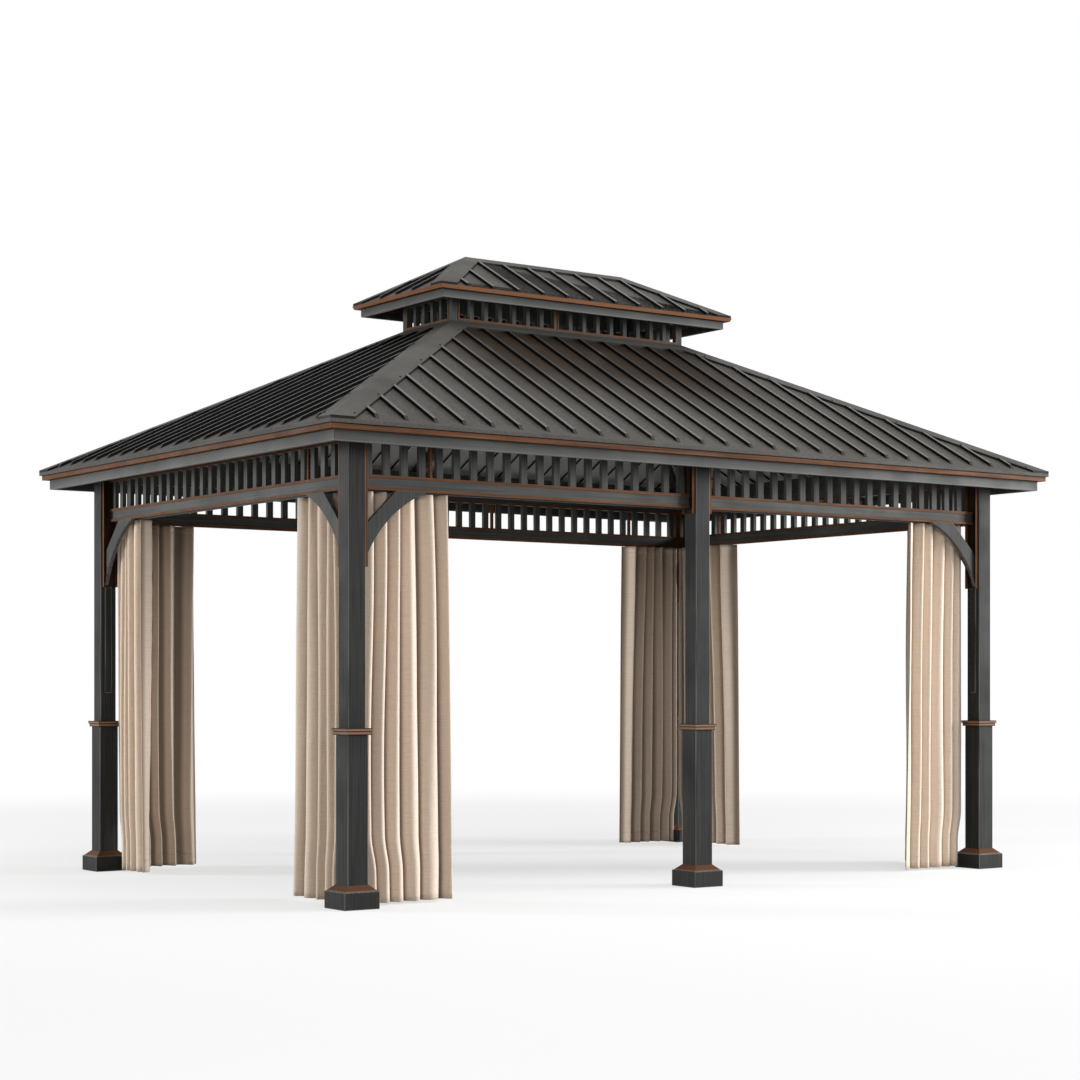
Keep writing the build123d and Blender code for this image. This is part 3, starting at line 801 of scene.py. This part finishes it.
def curtainTree():
    # A grid whose folds follow a wave that strays and swells with noise; each curtain has its
    # own width, flare, fullness and seed
    inputs = {
        "Width": 0.5, "Drop": curtain["drop"], "Flat Width": curtain["flatWidth"],
        "Folds": curtain["folds"], "Depth": curtain["depth"], "Wander": curtain["wander"],
        "Widening": curtain["widening"], "Roundness": curtain["roundness"],
        "Fullness": curtain["fullness"], "Flare": 0.08,
        "From": 0.0, "To": 1.0, "Stand Off": 0.0, "Seed": 1.0,
        "Across": int(curtain["folds"] * curtain["stepsAcross"]) + 1,
        "Down": curtain["stepsDown"] + 1,
    }
    tree, graph, given = startTree("curtainFolds", inputs)
    sizes = {
        "Size X": 1.0, "Size Y": 1.0,
        "Vertices X": given["Across"], "Vertices Y": given["Down"],
    }
    grid = graph.add("GeometryNodeMeshGrid", None, sizes)
    x, y, _ = graph.split(graph.add("GeometryNodeInputPosition"))
    along = x + 0.5
    up = (y + 0.5) * (given["To"] - given["From"]) + given["From"]
    fold = along * (1.0 + given["Widening"] * (1.0 - along)) * given["Folds"]

    stray, swell, slack = [
        graph.clothNoise(fold, up, clothNoises[kind], given["Seed"])
        for kind in ("stray", "swell", "slack")
    ]

    def stored(geometry, name, value, kind, domain):
        settings = {"data_type": kind, "domain": domain}
        values = {"Geometry": geometry, "Name": name, "Value": value}
        return graph.add("GeometryNodeStoreNamedAttribute", settings, values)

    uneven = (slack - 0.5) * curtain["slack"]
    edge = curtain["straightEdges"]
    loose = along.ramp(0.0, edge) * along.ramp(1.0, 1.0 - edge)
    phase = (fold + (stray - 0.5) * given["Wander"] * loose) * fullTurn
    crest = abs((phase * 0.5).sine()) ** given["Fullness"]

    # Out of the curtain's plane
    shallowTo, shallow = curtain["cornerFolds"]
    corner = along.ramp(0.0, shallowTo, shallow, 1.0)
    fullFrom, least = curtain["footDepth"]
    gathered = up.ramp(0.0, fullFrom, least, 1.0)
    swelling = swell.ramp(*curtain["swellDepth"])
    reach = given["Depth"] * 0.5 * swelling * gathered * corner
    outward = (1.0 - crest * 2.0) * reach + uneven

    # Along it and up
    spread = given["Width"] * (1.0 + given["Flare"] * (1.0 - up))
    pushed = (1.0 - along) * up.ramp(*curtain["plinthFade"], curtain["plinthPush"], 0.0)
    pinch = phase.sine() * given["Roundness"] * spread * curtain["bulge"] * loose
    width = along * spread + pushed - pinch + uneven
    lift = up * given["Drop"]

    flat = graph.vector(along * given["Flat Width"], lift, 0.0)
    mapped = stored(grid, "UVMap", flat, "FLOAT2", "CORNER")
    crested = stored(mapped, "crest", crest, "FLOAT", "POINT")
    place = {"Geometry": crested, "Position": graph.vector(width, outward, lift)}
    placed = graph.add("GeometryNodeSetPosition", None, place)
    step = {"Vector": graph.add("GeometryNodeInputNormal"), "Scale": given["Stand Off"]}
    away = graph.add("ShaderNodeVectorMath", {"operation": "SCALE"}, step)
    raised = graph.add("GeometryNodeSetPosition", None, {"Geometry": placed, "Offset": away})
    smooth = graph.add("GeometryNodeSetShadeSmooth", None, {"Geometry": raised})
    endTree(graph, smooth, linen)
    return tree


def markFolds(mesh):
    # How deep in a fold each corner lies, on its own side of the cloth, which places the linen's
    # painted shade
    crests = [item.value for item in mesh.attributes["crest"].data]
    depths = [0.0] * len(mesh.loops)
    for face in mesh.polygons:
        outer = face.normal.y < 0
        for loop in face.loop_indices:
            crest = crests[mesh.loops[loop].vertex_index]
            depths[loop] = 1.0 - crest if outer else crest
    mesh.attributes.new("deep", "FLOAT", "CORNER").data.foreach_set("value", depths)


def hangCurtain(piece, side, hand):
    # Moves a curtain's mesh from its own frame to its corner, mirrored for the right-hand one
    turn, half, out = sides[side]
    corner = (-half + curtain["cornerGap"], -out + curtain["inset"], curtain["footGap"])
    flip = Matrix.Scale(hand * -1.0, 4, Vector((1, 0, 0)))
    turned = Matrix.Rotation(math.radians(turn), 4, "Z")
    markFolds(piece.data)
    piece.data.transform(turned @ flip @ Matrix.Translation(corner))
    shape = bmesh.new()
    shape.from_mesh(piece.data)
    bmesh.ops.recalc_face_normals(shape, faces=shape.faces)
    shape.to_mesh(piece.data)
    shape.free()
    return piece


folds = curtainTree()
lowest, highest = curtain["bandEnds"]
bandReach = {
    "tape": (1.0 - curtain["tapeHeight"] / curtain["drop"], highest),
    "hem": (lowest, linenFinish["hemHeight"] / curtain["drop"]),
}
perSide, perHand, firstSeed = curtain["seeds"]
for sideNumber, (side, corners) in enumerate(curtainCorners.items()):
    inside = side in ("back", "right")
    for hand, corner in zip((-1, 1), corners):
        node = f"curtain_{side}_at_{corner}"
        width, flare = curtainWidths[f"{side}_at_{corner}"]
        values = {
            "Seed": perSide * sideNumber + perHand * hand + firstSeed,
            "Width": width,
            "Flare": flare,
            "Fullness": curtain["fullnessInside" if inside else "fullness"],
        }
        sheet = grow(folds, values, "linen_" + node, wall=curtain["cloth"])
        cloth = hangCurtain(sheet, side, hand)
        dressed(cloth, linen, [node])
        for label, (low, high) in bandReach.items():
            band = {
                **values, "From": low, "To": high,
                "Down": curtain["bandStepsDown"] + 1, "Stand Off": -curtain["standOff"],
            }
            strip = grow(folds, band, f"{label}_{node}", wall=curtain["cloth"] / 2)
            dressed(hangCurtain(strip, side, hand), linen)
print("curtains hung")


# Fasteners

screws = {
    "headRadius": 0.0040,
    "headHeight": 0.0026,
    "headSides": 6,
    "headLift": 0.0012,
    "washerRadius": 0.0056,
    "washerHeight": 0.0016,
    "washerSides": 14,
    "washerLift": 0.0006,
    "spacing": 0.36,
    "edgeInset": 0.016,      # from the edge of a cap
    "capHalfWidth": 0.090,
    "capRise": 0.014,
    "endGap": 0.14,
}


def screwTree(sizes, material):
    tree, graph, given = startTree("roofScrews", sizes)
    headSizes = {
        "Vertices": screws["headSides"], "Radius": given["Radius"], "Depth": given["Height"],
    }
    washerSizes = {
        "Vertices": screws["washerSides"], "Radius": given["Washer"],
        "Depth": screws["washerHeight"],
    }
    headUp = graph.vector(0.0, 0.0, given["Height"] * 0.5 + screws["headLift"])
    both = graph.add("GeometryNodeJoinGeometry")
    for shape, up in ((headSizes, headUp), (washerSizes, (0.0, 0.0, screws["washerLift"]))):
        disc = graph.add("GeometryNodeMeshCylinder", None, shape)
        lifted = graph.add("GeometryNodeTransform", None, {"Geometry": disc, "Translation": up})
        graph.tree.links.new(lifted.socket, both.socket.node.inputs[0])
    named = {"data_type": "FLOAT_VECTOR"}
    facing = graph.add("GeometryNodeInputNamedAttribute", named, {"Name": "facing"})
    turned = graph.add("FunctionNodeAlignRotationToVector", {"axis": "Z"}, {"Vector": facing})
    points = graph.add("GeometryNodeMeshToPoints", None, {"Mesh": given["Geometry"]})
    spread = {"Points": points, "Instance": both, "Rotation": turned}
    placed = graph.add("GeometryNodeInstanceOnPoints", None, spread)
    endTree(graph, placed, material)
    return tree


def hipPoints():
    # Two rows of screws on each hip cap of the lower roof
    eaveX, eaveY, eaveZ = plan["eave"]
    topX, topY, topZ = plan["cupolaFoot"]
    slopeX = (topZ - eaveZ) / (eaveX - topX)
    slopeY = (topZ - eaveZ) / (eaveY - topY)
    run = Vector((topX - eaveX, topY - eaveY))
    normal = Vector((-run.y, run.x)).normalized()
    aside = screws["capHalfWidth"] - screws["edgeInset"]
    reach = run.length - 2 * screws["endGap"]
    count = int(reach / screws["spacing"])
    found = []
    for number in range(count + 1):
        share = (screws["endGap"] + number * reach / count) / run.length
        middle = Vector((eaveX, eaveY)) + run * share
        for hand in (-1, 1):
            place = middle + normal * aside * hand
            heightX = eaveZ + (eaveX - place.x) * slopeX
            heightY = eaveZ + (eaveY - place.y) * slopeY
            # The lower of the two slopes is the one that the screw stands on
            slope = (slopeX, 0, 1) if heightX < heightY else (0, slopeY, 1)
            way = Vector(slope).normalized()
            height = min(heightX, heightY) + screws["capRise"]
            for signX in (-1, 1):
                for signY in (-1, 1):
                    spot = (place.x * signX, place.y * signY, height)
                    found.append((spot, (way.x * signX, way.y * signY, way.z)))
    return found


screwSizes = {
    "Radius": screws["headRadius"],
    "Height": screws["headHeight"],
    "Washer": screws["washerRadius"],
}
screwNodes = screwTree(screwSizes, roofSheet["X"])
hipScrews = grow(screwNodes, screwSizes, "hip_cap_screws", hipPoints())
dressed(hipScrews, roofSheet["X"])
print("fasteners placed")


# Studio

studio = {
    "floorRadius": 60.0,
    "floorSides": 96,
    "floorColour": colour(0.86, 0.86, 0.86),
    "floorGlow": 0.62,    # share of white in the floor under the object
    "fadeFrom": 4.5,      # where the floor begins to turn into the white background
    "fadeTo": 11.0,
    "bounce": colour(0.44, 0.434, 0.425),     # the floor as the object is lit by it
    "white": colour(1.0, 1.0, 1.0),
    "ambient": 0.27,
}

# Power in watts, and place, aim and size in metres
lamps = {
    "key": (4900.0, (15.0, -10.0, 4.0), (0.2, -0.6, 1.2), (8.0, 5.0)),
    "fill": (1000.0, (-9.5, 6.2, 2.4), (-1.5, -0.2, 1.3), (2.4, 3.0)),
    "front": (430.0, (-5.5, -14.5, 4.2), (0.0, -1.0, 1.2), (3.5, 3.5)),
    "top": (340.0, (0.5, -3.0, 8.0), (0.0, 0.0, 2.5), (6.0, 6.0)),
}

view = {
    "lens": 75.81,
    "sensorWidth": 36.0,
    "shiftUp": 0.1353,
    "farthest": 200.0,
    "place": (-7.803, -10.930, 1.078),
    "turn": -35.396,      # degrees, from looking along +Y
}


def showsBackground(graph):
    # 1 for rays that see the background itself, in the picture or in a reflection
    path = graph.add("ShaderNodeLightPath", None, None, "Is Camera Ray")
    seen = path.maths("MAXIMUM", graph.another(path, "Is Glossy Ray"))
    return seen.maths("MAXIMUM", graph.another(path, "Is Transmission Ray"))


def makeWorld():
    world = bpy.data.worlds.new("studio")
    world.use_nodes = True
    world.node_tree.nodes.clear()
    scene.world = world
    graph = Graph(world.node_tree)
    strength = showsBackground(graph) * (1.0 - studio["ambient"]) + studio["ambient"]
    glow = {"Color": studio["white"], "Strength": strength}
    light = graph.add("ShaderNodeBackground", None, glow)
    graph.add("ShaderNodeOutputWorld", None, {"Surface": light})


def makeFloor():
    material, graph = startMaterial("studioFloor")
    x, y, _ = graph.split(objectPoint(graph))
    distance = (x * x + y * y) ** 0.5
    far = distance.ramp(studio["fadeFrom"], studio["fadeTo"], studio["floorGlow"], 1.0)
    looked = graph.add("ShaderNodeLightPath", None, None, "Is Camera Ray")
    tone = graph.tint(looked, studio["bounce"], studio["floorColour"])
    paint = graph.add("ShaderNodeBsdfDiffuse", None, {"Color": tone})
    glow = graph.add("ShaderNodeEmission", None, {"Color": studio["white"], "Strength": 1.0})
    mixing = {0: far * showsBackground(graph), 1: paint, 2: glow}
    both = graph.add("ShaderNodeMixShader", None, mixing)
    graph.add("ShaderNodeOutputMaterial", None, {"Surface": both})
    shape = bmesh.new()
    disc = {"segments": studio["floorSides"], "radius": studio["floorRadius"]}
    bmesh.ops.create_circle(shape, cap_ends=True, **disc)
    mesh = bpy.data.meshes.new("studio_floor")
    shape.to_mesh(mesh)
    shape.free()
    floor = bpy.data.objects.new("studio_floor", mesh)
    floor.data.materials.append(material)
    scene.collection.objects.link(floor)


def makeLamp(name, power, place, aim, size):
    lamp = bpy.data.lights.new(name, "AREA")
    lamp.shape = "RECTANGLE"
    lamp.size, lamp.size_y = size
    lamp.energy = power
    holder = bpy.data.objects.new(name, lamp)
    holder.location = place
    toAim = Vector(aim) - Vector(place)
    holder.rotation_euler = toAim.to_track_quat("-Z", "Y").to_euler()
    scene.collection.objects.link(holder)


def makeCamera():
    camera = bpy.data.cameras.new("camera")
    camera.lens = view["lens"]
    camera.sensor_width = view["sensorWidth"]
    camera.shift_y = view["shiftUp"]
    camera.clip_end = view["farthest"]
    holder = bpy.data.objects.new("camera", camera)
    holder.location = view["place"]
    holder.rotation_euler = (math.radians(90), 0.0, math.radians(view["turn"]))
    scene.collection.objects.link(holder)
    scene.camera = holder


makeWorld()
makeFloor()
for name, lamp in lamps.items():
    makeLamp(name, *lamp)
makeCamera()
scene.view_settings.view_transform = "Standard"
print("studio set")
